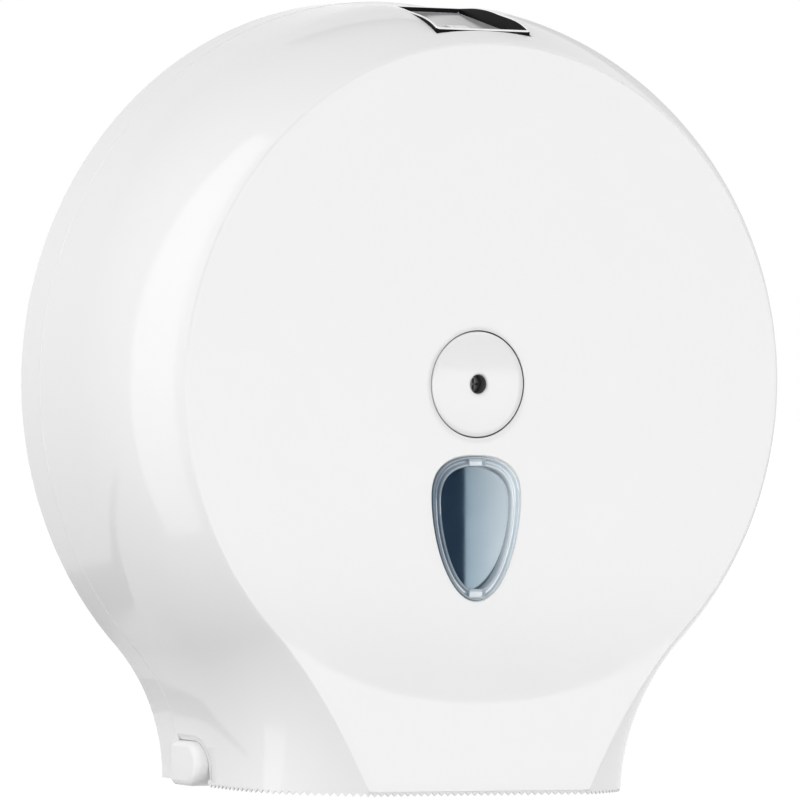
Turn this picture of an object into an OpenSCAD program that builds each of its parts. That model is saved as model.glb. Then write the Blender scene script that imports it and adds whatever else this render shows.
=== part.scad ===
// Jumbo toilet roll dispenser, wall mounted, as an assembly of separate pieces.
// Frame: +Z up, the wall is the plane y = 0, the front looks to -Y.
// The origin lies on the wall at the axis of the paper roll.
// A depth is a distance from the wall, measured towards the front.

/* [Body] */
// Radius of the round body, and half of its width
body_r = 170; // [155:1:190]
// Depth of the sharp edge round the front face
depth = 118; // [110:1:130]
// Depth of the seam between rear plate and cover
seam_d = 18.5; // [14:0.5:22]
// Depth at which the side starts to curve in
shoulder_d = 55; // [45:1:65]
// How far the front edge lies inside the round body
crease_inset = 19.4; // [12:0.2:26]
// How far the front face is dished at its centre
dish = 8; // [6:0.5:10]
// Wall thickness of the mouldings
wall = 3; // [2.6:0.1:3.4]

/* [Neck] */
// Half width of the neck at the wall
neck_w = 95; // [90:0.5:104]
// Half width of the neck at its front edge
neck_front_w = 56; // [50:1:62]
// How far the edge of the neck lies below the round body
neck_below = 9.5; // [8:0.5:14]
// How far the neck front leans forward, in mm per mm of height
neck_lean = 0.06; // [0.04:0.01:0.08]
// Radius of the hollow of the neck front
neck_hollow_r = 1900; // [1700:50:2300]
// Pitch of the serrated tear edge
tooth_pitch = 3.4; // [3:0.2:4.4]
// Height of one tooth
tooth_h = 1.8; // [1.2:0.2:2.4]

/* [Hinge] */
// Depth of the hinge axis
hinge_d = 32; // [31:0.5:36]
// Height of the hinge axis above the neck edge
hinge_up = 8; // [7.5:0.5:9]
// Radius of a hinge ear
ear_r = 10; // [9.5:0.1:10.8]
// How far a hinge ear stands out of the neck side
ear_proud = 5.5; // [3:0.5:6]
// Radius of a hinge pin
hinge_pin_r = 2.5; // [2:0.1:3]

/* [Spindle] */
// Radius of the sleeve that carries the core of the roll
sleeve_r = 21.75; // [21:0.25:22.5]
// Radius of the fixed spindle
spindle_r = 17; // [16:0.2:17.4]
// Distance from the front end of the sleeve to the dished face
sleeve_gap = 26; // [25:0.5:30]
// Running clearance in radius between moving and fixed pieces
run_gap = 0.06; // [0.04:0.01:0.09]

/* [Front cap] */
// Radius of the round cap in the front face
cap_r = 23.5; // [20:0.5:26]
// Radius of the screw well in the cap
well_r = 4.2; // [4:0.1:5]
// Axial travel of the brake shoe
shoe_travel = 3; // [2:0.5:3.5]

/* [Window] */
// Half width of the window
win_w = 22.2; // [18:0.2:25]
// Height of the top of the window
win_top = -32; // [-38:1:-30]
// Height of the widest place of the window
win_wide = -49; // [-54:1:-46]
// Height of the bottom of the window
win_bottom = -95.5; // [-104:0.5:-90]
// Width of the raised border
win_border = 4.4; // [3:0.2:5.4]

/* [Lock] */
// Width of the plated lock tray
tray_w = 48; // [44:1:54]
// Depth of the rear edge of the tray
tray_d0 = 45; // [43:1:50]
// How far the front edge of the tray lies behind the front edge of the cover
tray_back = 9.2; // [8:0.2:11]
// Turning range of the release lever
lever_turn = 6; // [5:0.5:6.5]

/* [Wall fixing] */
// Spacing of the wall slots across
slot_x = 160; // [140:2:180]
// Spacing of the wall slots in height
slot_z = 150; // [130:2:160]
// Width of a wall slot
slot_w = 5.6; // [5:0.2:6.4]
// Length of a wall slot
slot_len = 12; // [10:0.5:16]

/* [Hidden] */
$fn = 72;
fit_gap = 0.3;
c45 = cos(45);
shoulder_r = (pow(depth - shoulder_d, 2) + pow(crease_inset, 2)) / (2 * crease_inset);
crease_r = body_r - crease_inset;
face_d = depth - dish;
dish_r = (pow(crease_r, 2) + pow(dish, 2)) / (2 * dish);
neck_drop = body_r + neck_below;
ridge_low = crease_r - 9.6;
ridge_d = face_d + dish_r - sqrt(pow(dish_r, 2) - pow(ridge_low, 2));
neck_front_d = ridge_d + neck_lean * (neck_drop - ridge_low);
neck_corner_d = neck_front_d + pow(neck_front_w, 2) / (2 * neck_hollow_r);
sleeve_end = face_d - sleeve_gap;
neck_turn_d = 45;
skin = wall * 0.8;
rim_d = seam_d - fit_gap;
hinge_z = -neck_drop + hinge_up;
notch_r = ear_r + 0.9;
ear_out = neck_w + ear_proud;
ear_in = neck_w - 7.5;
web_in = ear_in - 4.2;
web_out = ear_in - 0.6;
boss_in = web_in - 6;
ring_r = body_r - 52;
ear_d = rim_d - 0.3;

// Radius of the round body at depth d
function side_r(d) = d <= shoulder_d ? body_r
    : body_r - shoulder_r + sqrt(pow(shoulder_r, 2) - pow(d - shoulder_d, 2));

// Half width of the neck at depth d
function neck_half(d) = d <= neck_turn_d ? neck_w
    : d >= neck_corner_d ? neck_front_w - 2 * (d - neck_corner_d)
    : neck_front_w + (neck_w - neck_front_w) * (1 - pow((d - neck_turn_d) / (neck_corner_d - neck_turn_d), 4));

// Depth of the dished face at radius r
function dish_d(r) = face_d + dish_r - sqrt(pow(dish_r, 2) - pow(r, 2));

// Radius of the hollow flank that joins circle and neck, tangent to the circle at 45 degrees
function flank_r(r, w) = (pow(w - r * c45, 2) + pow(neck_drop - r * c45, 2))
    / (2 * c45 * (w + neck_drop - 2 * r * c45));

// Point i of n on the hollow flank, side is -1 for left and 1 for right
function flank_pt(r, w, side, i, n) =
    let (f = flank_r(r, w))
    let (c = r * c45 + f * c45)
    let (a1 = atan2(c - neck_drop, c - w))
    let (a = 45 + (a1 - 45) * i / n)
    [side * (c - f * cos(a)), f * sin(a) - c];

// Outline of the body with round radius r and neck half width w, ext lengthens the neck
function outline(r, w, ext = 0, nc = 48, na = 6) = concat(
    [for (i = [0:nc]) [r * cos(-45 + 270 * i / nc), r * sin(-45 + 270 * i / nc)]],
    [for (i = [1:na]) flank_pt(r, w, -1, i, na)],
    ext > 0 ? [[-w, -neck_drop - ext], [w, -neck_drop - ext]] : [],
    [for (i = [na:-1:1]) flank_pt(r, w, 1, i, na)]
);

// Half outline of the window, grown by g
function win_half(z, g) = z > win_wide
    ? (win_w + g) * pow(1 - pow(1 - (win_top - z) / (win_top - win_wide), 2.4), 1 / 2.4)
    : (win_w + g) * sqrt(1 - pow((win_wide - z) / (win_wide - win_bottom), 1.2));
win_mid = (win_top + win_bottom) / 2;
win_hz = (win_top - win_bottom) / 2;
function win_z(t) = win_top - (win_top - win_bottom) * (1 - cos(t)) / 2;
function win_line(g, n = 22) = concat(
    [for (i = [0:n]) let (z = win_z(180 * i / n)) [win_half(z, g), (z - win_mid) * (win_hz + g) / win_hz]],
    [for (i = [n - 1:-1:1]) let (z = win_z(180 * i / n)) [-win_half(z, g), (z - win_mid) * (win_hz + g) / win_hz]]
);
win_tilt = -asin(-win_mid / dish_r);

// Lock geometry, all in depth and height
tray_out = 0.6;
floor_z0 = body_r - 5.5;
floor_slope = 0.2034;
floor_t = 2.5;
tray_d1 = depth - tray_back;
lever_d = tray_d0 + 27;
lever_z = body_r - 15.5;
lever_w = 10;
pad_d0 = tray_d1 - 25.9;
pad_d1 = tray_d1 - 16.4;
tooth_d = 29;
lip_d = tooth_d + 2.2;
catch_z = body_r - 27.6;
hook_grip = (lever_d - tooth_d) * sin(lever_turn) - 1.7;
function floor_z(d) = floor_z0 - (d - tray_d0 - 5) * floor_slope;
function under_z(d) = floor_z(d) - floor_t;

// Round bar along the depth, from depth d0 to d1
module rod_y(r, d0, d1, x = 0, z = 0) {
    translate([x, -d0, z]) rotate([90, 0, 0]) cylinder(r = r, h = d1 - d0);
}

// Round bar across, from x0 to x1
module rod_x(r, x0, x1, d = 0, z = 0) {
    translate([x0, -d, z]) rotate([0, 90, 0]) cylinder(r = r, h = x1 - x0);
}

// Flat outline in x and z, thick from depth d0 to d1
module slab(d0, d1) {
    translate([0, -d0, 0]) rotate([90, 0, 0]) linear_extrude(d1 - d0) children();
}

// Flat outline in depth and height, extruded across and centred on x
module across(w, x = 0) {
    translate([x, 0, 0]) rotate([90, 0, -90]) linear_extrude(w, center = true) children();
}

// Block between two corners given as x, depth, z
module block(a, b) {
    translate([a[0], -b[1], a[2]]) cube([b[0] - a[0], b[1] - a[1], b[2] - a[2]]);
}

// Both sides of a piece drawn on the right
module both_sides() {
    children();
    mirror([1, 0, 0]) children();
}

// Exact outline of the body in x and z
module body_face(r, w, ext = 0) {
    f = flank_r(r, w);
    c = (r + f) * c45;
    top = (r - 10) * c45;
    low = (r + 20) * c45;
    circle(r = r, $fn = 144);
    difference() {
        polygon([[-top, -top], [-low, -low], [-w - 5, -neck_drop], [w + 5, -neck_drop], [low, -low], [top, -top]]);
        for (x = [-c, c]) translate([x, -c]) circle(r = f + 0.05, $fn = 144);
    }
    if (ext > 0) translate([0.5 - w, -neck_drop - ext]) square([2 * w - 1, ext + 0.5]);
}

// Solid that runs through a list of outlines, each a list [depth, points]
module loft(rows) {
    n = len(rows[0][1]);
    m = len(rows);
    pts = [for (row = rows) for (p = row[1]) [p[0], -row[0], p[1]]];
    sides = [for (i = [0:m - 2]) for (j = [0:n - 1]) let (k = (j + 1) % n)
        for (t = [0:1]) t == 0
            ? [(i + 1) * n + j, (i + 1) * n + k, i * n + k]
            : [(i + 1) * n + j, i * n + k, i * n + j]];
    caps = [[for (j = [0:n - 1]) j], [for (j = [n - 1:-1:0]) (m - 1) * n + j]];
    polyhedron(points = pts, faces = concat(sides, caps), convexity = 6);
}

// Everything behind the dished face and the hollow neck front, moved back by t
module front_limit(t) {
    reach = body_r + 60;
    difference() {
        block([-reach, -5, -reach], [reach, depth + 12, reach]);
        translate([0, -face_d - dish_r, 0]) sphere(r = dish_r + t, $fn = 288);
        intersection() {
            translate([0, -ridge_d, -ridge_low]) rotate([-atan(neck_lean), 0, 0])
                translate([0, -neck_hollow_r, -reach]) cylinder(r = neck_hollow_r + t, h = 2 * reach, $fn = 1440);
            block([-reach, depth - 20, -2 * reach], [reach, depth + 20, 29 - ridge_low]);
        }
    }
}

// Coil with its axis along the depth from d0 to d1
module coil(rm, rw, d0, d1, turns, sides = 8, steps = 20) {
    n = turns * steps;
    pitch = (d1 - d0 - 2 * rw) / n;
    pts = [for (i = [0:n]) for (k = [0:sides - 1]) let (a = 360 * i / steps, b = 360 * k / sides)
        [(rm + rw * cos(b)) * cos(a), -d0 - rw - pitch * i - rw * sin(b), (rm + rw * cos(b)) * sin(a)]];
    skin_f = [for (i = [0:n - 1]) for (k = [0:sides - 1]) let (q = (k + 1) % sides)
        for (t = [0:1]) t == 0
            ? [i * sides + k, (i + 1) * sides + k, (i + 1) * sides + q]
            : [i * sides + k, (i + 1) * sides + q, i * sides + q]];
    ends = [[for (k = [0:sides - 1]) k], [for (k = [sides - 1:-1:0]) n * sides + k]];
    polyhedron(points = pts, faces = concat(skin_f, ends), convexity = 10);
}

// Cross recess for a screw head, open towards the front at depth d
module cross_recess(d, size) {
    for (a = [0, 90]) rotate([0, a, 0]) block([-size, d - 1.1, -0.45], [size, d + 1, 0.45]);
}

// Screw along the depth with its head seat at depth d and its tip at depth tip
module screw_y(r, head_r, head_h, d, tip) {
    difference() {
        union() {
            rod_y(r, tip, d + 0.2);
            rod_y(head_r, d, d + head_h);
        }
        cross_recess(d + head_h, head_r * 0.62);
    }
}

module slot_2d(w, l) {
    for (s = [-1, 1]) translate([s * (l - w) / 2, 0]) circle(d = w, $fn = 36);
    square([l - w, w], center = true);
}

// Back panel with rim, stiffening ribs, four wall slots and the two hinge ears
module rear_plate() {
    color("white") difference() {
        union() {
            slab(0, wall) body_face(body_r, neck_w);
            slab(0, rim_d) difference() {
                body_face(body_r, neck_w);
                body_face(body_r - wall, neck_w - wall, 6);
            }
            slab(1, 8) difference() {
                circle(r = 62);
                circle(r = 59.6);
            }
            slab(1, 8) difference() {
                circle(r = ring_r, $fn = 120);
                circle(r = ring_r - 2.4, $fn = 120);
            }
            for (a = [45:90:315]) rotate([0, a, 0]) block([61, 1, -1.2], [ring_r - 1.5, 7.4, 1.2]);
            for (a = [90, 180, 0]) rotate([0, a, 0]) block([ring_r - 1, 1, -1.2], [body_r - 16, 7.4, 1.2]);
            for (x = [-1, 1], z = [-1, 1]) rod_y(10, 1, 5, x * slot_x / 2, z * slot_z / 2);
            both_sides() difference() {
                union() {
                    rod_x(ear_r, ear_in, ear_out, hinge_d, hinge_z);
                    for (z = [-1, 1]) rod_x(4, ear_in, ear_out, ear_d + 4, hinge_z + z * (ear_r - 4));
                    block([ear_in, ear_d, hinge_z - ear_r + 4], [ear_out, hinge_d, hinge_z + ear_r - 4]);
                    block([ear_in, ear_d + 4, hinge_z - ear_r], [ear_out, hinge_d, hinge_z + ear_r]);
                    block([ear_in + 0.4, 1, 1 - neck_drop], [neck_w - 1, hinge_d - 5, hinge_z + ear_r - 0.5]);
                }
                rod_x(hinge_pin_r, ear_in - 1, ear_out - 2, hinge_d, hinge_z);
            }
            for (x = [-1, 1]) block([x * 7 - 4, 1, body_r - 33], [x * 7 + 4, 4, body_r - 20]);
        }
        for (x = [-1, 1], z = [-1, 1]) translate([x * slot_x / 2, 0, z * slot_z / 2])
            slab(-1, 8) slot_2d(slot_w, slot_len);
        for (a = [90, 210, 330]) rotate([0, a, 0]) rod_y(2, 0.6, 4, 28);
        for (x = [-1, 1]) rod_y(1.5, 0.8, 5, x * 7, catch_z);
    }
}

// Fixed spindle with a screw flange and an inner wall for the cap screw
module spindle() {
    color("gainsboro") difference() {
        union() {
            rod_y(36, wall, wall + 3);
            rod_y(spindle_r, wall, sleeve_end - 4.5);
        }
        rod_y(spindle_r - 4, wall + 12, sleeve_end - 28);
        rod_y(spindle_r - 4, sleeve_end - 14, sleeve_end);
        rod_y(2, sleeve_end - 29, sleeve_end - 13);
        for (a = [90, 210, 330]) rotate([0, a, 0]) rod_y(2.3, 0, wall + 4, 28);
    }
}

module spindle_screws() {
    color("silver") for (a = [90, 210, 330]) rotate([0, a, 0]) translate([28, 0, 0])
        screw_y(1.95, 3.8, 2, wall + 3, 0.8);
}

// Sleeve for the roll core, free to turn on the spindle
module core_sleeve() {
    color("lightgray") difference() {
        union() {
            rod_y(32, 9, 11.5);
            rod_y(sleeve_r, 9, sleeve_end);
        }
        rod_y(spindle_r + run_gap, 8, sleeve_end + 1);
        rod_y(20.3, sleeve_end - 4.8, sleeve_end + 1);
        for (a = [0:60:300]) rotate([0, a, 0]) rod_y(3.4, 8, 13, 26.6);
    }
}

module spindle_cap() {
    color("gainsboro") difference() {
        union() {
            rod_y(20, sleeve_end - 4.5, sleeve_end - 2);
            rod_y(spindle_r - 4.1, sleeve_end - 12, sleeve_end - 4);
        }
        rod_y(2.3, sleeve_end - 13, sleeve_end);
    }
}

module spindle_cap_screw() {
    color("silver") screw_y(1.95, 3.7, 1.7, sleeve_end - 2, sleeve_end - 26);
}

// Depths of the outlines that the curved part of the cover runs through
rows_d = concat([32, neck_turn_d], [for (f = [0, 0.17, 0.33, 0.48, 0.6, 0.71, 0.81, 0.89, 0.96])
    shoulder_d + (depth - shoulder_d) * f]);

// Body of the cover without holes, closed at the front and the rear
module cover_skin() {
    intersection() {
        loft([for (d = concat([seam_d], rows_d, [depth + 5])) [d, outline(side_r(d), neck_half(d))]]);
        front_limit(0);
    }
}

module cover_hollow() {
    intersection() {
        loft([for (d = concat([seam_d - 2], rows_d, [depth + 2]))
            [d, outline(side_r(d + skin) - skin, neck_half(d + skin) - skin, 12)]]);
        front_limit(wall);
    }
}

// Row of teeth from plan point p to q, each [x, depth], hanging below the neck edge
module tooth_strip(p, q) {
    l = norm(q - p);
    n = max(1, round(l / tooth_pitch));
    s = l / n;
    top = -neck_drop + 1.5;
    root = -neck_drop - 0.25;
    saw = concat([[l, top], [0, top], [0, root]],
        [for (i = [0:n - 1]) for (k = [0:1]) k == 0
            ? [(i + 0.5) * s, root - tooth_h]
            : [(i + 1) * s, root]]);
    translate([p[0], -p[1], 0]) rotate([0, 0, atan2(p[1] - q[1], q[0] - p[0])])
        translate([0, -0.15, 0]) rotate([90, 0, 0]) linear_extrude(1.6) polygon(saw);
}

teeth_d = concat([50, 62, 74], [for (f = [0.24, 0.43, 0.6, 0.75, 0.87]) 74 + (neck_front_d - 74) * f],
    [neck_front_d - 0.6]);

module tear_edge() {
    both_sides() for (i = [0:len(teeth_d) - 2])
        tooth_strip([neck_half(teeth_d[i]), teeth_d[i]], [neck_half(teeth_d[i + 1]), teeth_d[i + 1]]);
    w = neck_half(neck_front_d - 0.6);
    tooth_strip([w, neck_front_d - 0.2], [-w, neck_front_d - 0.2]);
}

// Places children on the dished face at the middle of the window
module at_window() {
    translate([0, -dish_d(-win_mid), win_mid]) rotate([win_tilt, 0, 0]) children();
}

// Cover with dished front, seats for cap, window and lock, hinge bosses and tear edge
module front_cover() {
    color("white") difference() {
        union() {
            difference() {
                cover_skin();
                cover_hollow();
            }
            tear_edge();
            rod_y(cap_r + 4.5, face_d - 8.8, face_d - 1);
            at_window() slab(-4.5, -1.5) polygon(win_line(5));
            both_sides() {
                block([web_in, seam_d + 0.4, hinge_z + notch_r + 0.6], [neck_w - 1.4, 58, hinge_z + 17]);
                block([web_in, hinge_d + notch_r + 0.8, -neck_drop + 1], [neck_w - 2, 56, hinge_z + 13]);
                block([web_in, hinge_d - 8, -neck_drop + 1], [web_out, 56, hinge_z + 13]);
                rod_x(6.4, boss_in, web_out, hinge_d, hinge_z + 1.2);
            }
        }
        rod_y(cap_r + 0.3, face_d - 2.8, depth + 5);
        rod_y(8.9, face_d - 10, depth);
        at_window() slab(-7, 4) polygon(win_line(0.15));
        block([-tray_w / 2 - 0.3, tray_d0 - 0.3, body_r - 30], [tray_w / 2 + 0.3, tray_d1 + 0.3, body_r + 5]);
        both_sides() {
            rod_x(notch_r, web_out, ear_out + 7, hinge_d, hinge_z);
            block([web_out, seam_d - 6, -neck_drop - 8], [ear_out + 9, hinge_d, hinge_z + notch_r]);
            block([web_out, hinge_d - 1, -neck_drop - 9], [ear_out + 8, hinge_d + notch_r, hinge_z]);
            rod_x(hinge_pin_r + run_gap, boss_in - 1, web_out + 1, hinge_d, hinge_z);
        }
    }
}

module hinge_pin(side) {
    x0 = boss_in + 0.5;
    x1 = ear_out - 2.2;
    color("silver") if (side > 0) rod_x(hinge_pin_r, x0, x1, hinge_d, hinge_z);
    else rod_x(hinge_pin_r, -x1, -x0, hinge_d, hinge_z);
}

module hinge_pin_left() {
    hinge_pin(-1);
}

module hinge_pin_right() {
    hinge_pin(1);
}

// Round cap in the middle of the front face, slightly crowned, with a screw well
module front_cap() {
    crown_r = 200;
    top = face_d + 1.5;
    color("white") difference() {
        union() {
            intersection() {
                rod_y(cap_r, face_d - 2.8, top + 1);
                translate([0, crown_r - top, 0]) sphere(r = crown_r, $fn = 240);
            }
            rod_y(8.6, face_d - 8.6, face_d - 2);
        }
        rod_y(well_r, face_d - 6.6, top + 1);
        translate([0, -top + 1.1, 0]) rotate([90, 0, 0]) cylinder(r1 = well_r, r2 = well_r + 1.3, h = 1.3);
        rod_y(2.2, face_d - 9, face_d - 6);
    }
}

module cap_screw() {
    color("silver") screw_y(1.95, 3.8, 2.3, face_d - 6.6, sleeve_end + 4);
}

// Inner disc that the cap screw pulls tight, its tube guides the brake shoe
module cap_retainer() {
    back = sleeve_end + 1;
    color("gainsboro") difference() {
        union() {
            rod_y(20, face_d - 13, face_d - 8.8);
            rod_y(6, back, face_d - 12);
            rod_y(7.2, back, back + 1.3);
        }
        rod_y(2, back - 1, face_d - 8);
    }
}

// Spring loaded disc that brakes the turning sleeve
module brake_shoe() {
    s0 = sleeve_end + 0.3;
    color("dimgray") difference() {
        union() {
            rod_y(24, s0, s0 + 2.5);
            rod_y(9.6, s0, face_d - 15.7 - shoe_travel);
        }
        rod_y(6 + run_gap, s0 - 1, s0 + 8);
        rod_y(7.6, s0 - 1, s0 + 2.3);
    }
}

module brake_spring() {
    color("silver") coil(12.6, 0.7, sleeve_end + 2.85, face_d - 13.05, 4);
}

// Clear tinted pane with raised border, held by a flange behind the face
module window_pane() {
    color([0.35, 0.45, 0.55, 0.6]) at_window() difference() {
        union() {
            slab(-6, -4.55) polygon(win_line(3));
            slab(-4.8, 0.9) polygon(win_line(0));
        }
        slab(-0.7, 2) polygon(win_line(-win_border));
        slab(0.35, 2) difference() {
            polygon(win_line(-1.5));
            polygon(win_line(-2.5));
        }
        slab(-7, -2.8) polygon(win_line(-win_border));
    }
}

// Plated tray let into the top of the cover, with an opening for the lever pad
module lock_tray() {
    n = 14;
    top = [for (i = [0:n]) let (d = tray_d0 + (tray_d1 - tray_d0) * i / n) [d, side_r(d) + tray_out]];
    low = [[tray_d1, under_z(tray_d1) + 0.5], [tray_d0, under_z(tray_d0)]];
    color("silver") difference() {
        across(tray_w) polygon(concat(top, low));
        across(tray_w - 3) polygon([
            [tray_d0 + 2, floor_z(tray_d0 + 2)], [tray_d0 + 2, body_r + 5],
            [tray_d1 - 1.4, body_r + 5], [tray_d1 - 1.4, floor_z(tray_d1 - 1.4)]
        ]);
        block([-lever_w / 2 - 0.8, pad_d0 - 0.8, body_r - 30], [lever_w / 2 + 0.8, pad_d1 + 0.8, body_r]);
        for (s = [-1, 1]) translate([s * 12, -lever_d, under_z(lever_d) - 1]) cylinder(r = 1.2, h = 2.6);
    }
}

// Bracket under the tray, its cheeks hold the lever pin
module lock_body() {
    d0 = lever_d - 9;
    d1 = lever_d + 9;
    color("gainsboro") difference() {
        union() {
            across(32) polygon([
                [d0, under_z(d0)], [d0, under_z(d0) - 2], [d1, under_z(d1) - 2], [d1, under_z(d1)]
            ]);
            for (s = [-1, 1]) across(3, s * (lever_w / 2 + 1.9)) polygon([
                [d0 + 3, under_z(d0 + 3) - 1], [d0 + 4.5, lever_z - 3.5],
                [d1 - 4.5, lever_z - 3.5], [d1 - 3, under_z(d1 - 3) - 1]
            ]);
        }
        block([-lever_w / 2 - 0.4, d0 + 3, body_r - 30], [lever_w / 2 + 0.4, d1 + 3, body_r]);
        block([-lever_w / 2 - 0.4, d0 - 3, body_r - 30], [lever_w / 2 + 0.4, d0 + 4, under_z(d0 + 3) - 1.4]);
        rod_x(1.5, -12, 12, lever_d, lever_z);
        for (s = [-1, 1]) translate([s * 12, -lever_d, under_z(lever_d) - 5]) cylinder(r = 1.5, h = 6);
    }
}

module lock_screws() {
    color("silver") for (s = [-1, 1]) translate([s * 12, -lever_d, 0]) {
        translate([0, 0, under_z(lever_d) - 3]) cylinder(r = 1.15, h = 4.5);
        translate([0, 0, under_z(lever_d) - 4.4]) cylinder(r = 2.6, h = 1.75);
    }
}

// Two armed lever: the pad is pressed down and the hook at the rear lifts
module release_lever() {
    color("whitesmoke") difference() {
        union() {
            across(lever_w) polygon([
                [tooth_d - 2, lever_z + 1.5], [lever_d, lever_z + 1.5], [pad_d0, lever_z - 1.6],
                [pad_d0, floor_z(pad_d0) + 1], [pad_d1, floor_z(pad_d1) + 1], [pad_d1, lever_z - 6.4],
                [lever_d, lever_z - 1.5], [tooth_d + 1.6, lever_z - 1.5], [tooth_d + 1.6, lever_z - 5],
                [tooth_d, lever_z - 5], [tooth_d - 2, lever_z - 2.6]
            ]);
            rod_x(3, -lever_w / 2, lever_w / 2, lever_d, lever_z);
        }
        rod_x(1.5 + run_gap, -12, 12, lever_d, lever_z);
    }
}

module lever_pin() {
    color("silver") rod_x(1.5, -lever_w / 2 - 3.2, lever_w / 2 + 3.2, lever_d, lever_z);
}

module lever_spring() {
    d = lever_d - 15;
    low = lever_z + 1.55;
    high = under_z(d + 2.9) - 0.05;
    color("silver") translate([0, -d, 0]) rotate([-90, 0, 0]) coil(2.6, 0.3, low, high, 4, 6, 16);
}

// Catch on the rear plate, its lip holds the hook of the lever
module latch_keeper() {
    z0 = lever_z - 9;
    lip_z = lever_z - 5 + hook_grip;
    color("gainsboro") difference() {
        union() {
            across(18) polygon([
                [4, z0], [lip_d + 3, z0], [lip_d + 3, lip_z - 1.2], [lip_d + 1.6, lip_z],
                [lip_d, lip_z], [lip_d, z0 + 2.5], [6.5, z0 + 2.5], [6.5, z0 + 4], [4, z0 + 4]
            ]);
            block([-11, 4, body_r - 33], [11, 6.5, z0 + 1]);
        }
        for (s = [-1, 1]) rod_y(1.8, 3, 8, s * 7, catch_z);
    }
}

module keeper_screws() {
    color("silver") for (s = [-1, 1]) translate([s * 7, 0, catch_z]) screw_y(1.45, 2.8, 1.6, 6.5, 1);
}

rear_plate();
spindle();
spindle_screws();
core_sleeve();
spindle_cap();
spindle_cap_screw();
front_cover();
hinge_pin_left();
hinge_pin_right();
front_cap();
cap_screw();
cap_retainer();
brake_shoe();
brake_spring();
window_pane();
lock_tray();
lock_body();
lock_screws();
release_lever();
lever_pin();
lever_spring();
latch_keeper();
keeper_screws();
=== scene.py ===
import math

import bmesh
import bpy
from mathutils import Matrix, Vector


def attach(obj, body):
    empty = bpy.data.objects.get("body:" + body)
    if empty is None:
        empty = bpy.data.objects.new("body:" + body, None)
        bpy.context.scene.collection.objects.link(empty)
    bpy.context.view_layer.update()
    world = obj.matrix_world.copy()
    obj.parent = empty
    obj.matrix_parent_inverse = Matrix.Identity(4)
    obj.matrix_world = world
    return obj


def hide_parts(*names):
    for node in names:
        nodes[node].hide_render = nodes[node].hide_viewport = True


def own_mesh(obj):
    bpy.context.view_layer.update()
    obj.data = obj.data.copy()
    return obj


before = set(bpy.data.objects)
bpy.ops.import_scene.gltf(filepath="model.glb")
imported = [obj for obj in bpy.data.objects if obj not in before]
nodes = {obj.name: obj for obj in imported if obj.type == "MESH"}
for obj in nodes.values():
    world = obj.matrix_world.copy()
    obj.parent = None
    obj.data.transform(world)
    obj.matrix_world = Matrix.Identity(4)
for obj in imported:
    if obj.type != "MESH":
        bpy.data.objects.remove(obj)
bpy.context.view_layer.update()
MM = 0.001
C45 = math.cos(math.radians(45))

# Camera fitted to the photograph: angles, distance and the picture point of a target in the object
CAM_AZ, CAM_EL, CAM_ROLL = -29.56, 0.86, 1.25
CAM_DIST, CAM_SCALE = 4072.5, 2.24
CAM_TARGET = Vector((0, -60, 0))
CAM_TARGET_PX = (421.7, 381.8)
PICTURE = 800
SENSOR = 36

# Form of the cover in mm, as in the CAD source; a depth is a distance from the wall
BODY_R, DEPTH, SEAM, SHOULDER, INSET, DISH, WALL, SKIN = 170, 118, 18.5, 55, 19.4, 8, 3, 2.4
NECK_W, NECK_FRONT_W, NECK_DROP, LEAN, HOLLOW_R, TURN_D = 95, 56, 179.5, 0.06, 1900, 45
SHOULDER_R = ((DEPTH - SHOULDER) ** 2 + INSET ** 2) / (2 * INSET)
CREASE_R = BODY_R - INSET
FACE = DEPTH - DISH
DISH_R = (CREASE_R ** 2 + DISH ** 2) / (2 * DISH)
RIDGE_LOW = CREASE_R - 9.6
RIDGE_D = FACE + DISH_R - math.sqrt(DISH_R ** 2 - RIDGE_LOW ** 2)
NECK_FRONT = RIDGE_D + LEAN * (NECK_DROP - RIDGE_LOW)
NECK_CORNER = NECK_FRONT + NECK_FRONT_W ** 2 / (2 * HOLLOW_R)
TOOTH_PITCH, TOOTH_H, TOOTH_START = 3.4, 1.8, 43
EDGE_R, INNER_EDGE_R, LOW_EDGE_R, RIDGE_SOFT, RIDGE_BAND = 0.9, 0.5, 0.4, 0.05, 1.6

# Front cap and its stepped seat in mm
CAP_R, SEAT_R, WELL_R, STEM_R, STEM_HOLE_R, BOSS_R, CROWN_R = 23.3, 23.8, 4.2, 8.6, 8.9, 28.0, 200
CROWN_D, SEAT_D, WELL_D, STEM_D, BOSS_D = FACE + 1.5, FACE - 2.8, FACE - 6.6, FACE - 8.6, FACE - 8.8
SEAT_RIM_R = SEAT_R + 0.35

# Window in mm: half width, heights of its top, widest line and bottom, and border
WIN_W, WIN_TOP, WIN_WIDE, WIN_BOTTOM, WIN_BORDER = 22.2, -32, -50.5, -95.5, 4.4
WIN_UPPER_POWER, WIN_LOWER_POWER, TROUGH_X = 2.5, 1.8, 2.9
WIN_MID = (WIN_TOP + WIN_BOTTOM) / 2
WIN_HZ = (WIN_TOP - WIN_BOTTOM) / 2
WIN_TILT = math.asin(-WIN_MID / DISH_R)

# Hinge in mm: ears of the rear plate, webs and bosses of the cover
HINGE_D, HINGE_Z, EAR_R, EAR_OUT, EAR_IN, EAR_D, EAR_GAP = 32, -171.5, 10, 100.5, 87.5, 17.9, 0.18
WEB_OUT, WEB_IN, HINGE_BOSS_R, PIN_R = 86.9, 83.3, 6.4, 2.6

# Tray and pad of the lock in mm
TRAY_W, TRAY_D0, TRAY_D1, TRAY_FLOOR, FLOOR_SLOPE = 48, 45, 108.8, 164.5, 0.2034
TRAY_RIM, RIM_SINK, RIM_BAND, WALL_BAND = 0.4, 2.6, 0.35, 1.45
PAD_W, PAD_D0, PAD_D1, PAD_GAP = 10, 82.9, 92.4, 0.8

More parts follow.
